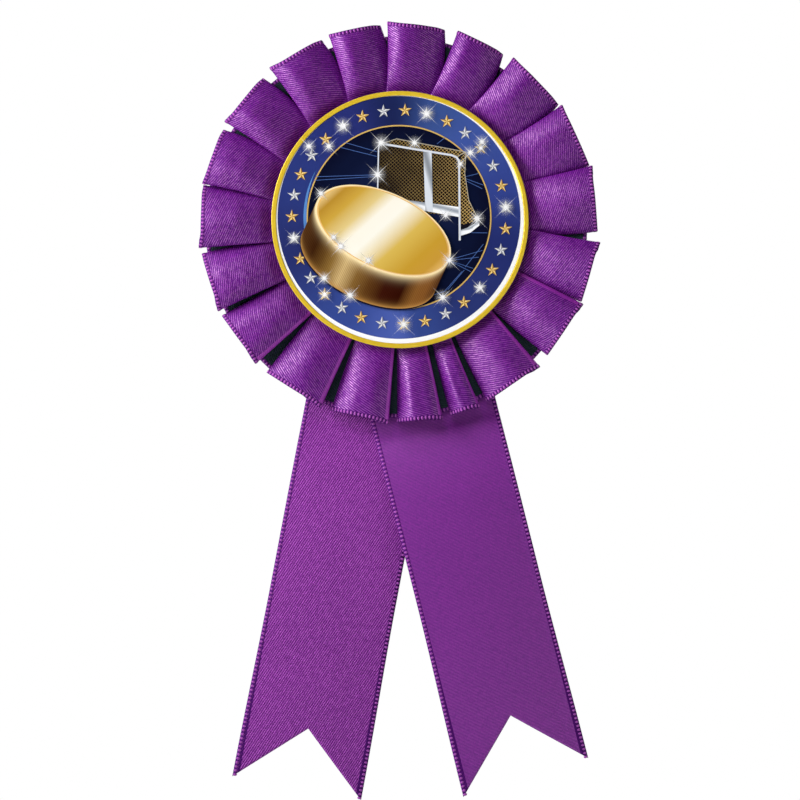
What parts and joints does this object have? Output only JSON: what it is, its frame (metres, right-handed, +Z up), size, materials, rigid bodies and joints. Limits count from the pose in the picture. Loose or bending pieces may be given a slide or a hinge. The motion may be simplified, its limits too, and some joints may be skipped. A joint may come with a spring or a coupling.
{
  "type": "award rosette ribbon",
  "caption": "Award rosette: a pleated satin ribbon ring round a flat printed medallion, with two swallow-tailed streamers and a bar pin with a safety catch on the back.",
  "frame": {"origin": "on the rosette's axis, at the back face of the backing disc, where the garment's cloth lies", "axes": "+Z up, the streamers hang along -Z, the printed front faces -Y, +X to the viewer's right"},
  "size_m": [0.1016, 0.0159, 0.1969],
  "materials": {
    "satin_ribbon": "satin",
    "thread": "matte",
    "printed_paper": "gloss",
    "gold_plastic": "gloss",
    "card": "matte",
    "foam": "matte",
    "plated_steel": "satin",
    "staple_wire": "satin"
  },
  "bodies": {
    "root": {"insert_label": "printed_paper", "insert_holder": "gold_plastic", "centre_pad": "foam", "pleated_ring": "satin_ribbon", "pleat_core": "card", "pleat_stitches": "thread", "streamer_left_tab": "satin_ribbon", "streamer_right_tab": "satin_ribbon", "streamer_staples": "staple_wire", "backing_disc": "card", "pin_pad": "foam", "pin_bar": "plated_steel", "pin_rivet": "plated_steel"},
    "streamer_left": {"streamer_left": "satin_ribbon"},
    "streamer_right": {"streamer_right": "satin_ribbon"},
    "needle": {"pin_needle": "plated_steel"},
    "catch": {"pin_catch": "plated_steel"}
  },
  "joints": [
    {"name": "streamer_left_lift", "type": "hinge", "parent": "root", "child": "streamer_left", "pos_m": [-0.00886, -0.0015, -0.05226], "axis": [0.9826, 0, -0.1857], "range_deg": [0, 45]},
    {"name": "streamer_right_lift", "type": "hinge", "parent": "root", "child": "streamer_right", "pos_m": [0.00951, -0.0022, -0.05226], "axis": [-0.9694, 0, -0.2453], "range_deg": [0, 90]},
    {"name": "needle_swing", "type": "hinge", "parent": "root", "child": "needle", "pos_m": [-0.012, 0.0038, 0.012], "axis": [0, 0, 1], "range_deg": [0, 60]},
    {"name": "catch_turn", "type": "hinge", "parent": "root", "child": "catch", "pos_m": [0.0109, 0.0038, 0.012], "axis": [1, 0, 0], "range_deg": [0, 100]}
  ]
}
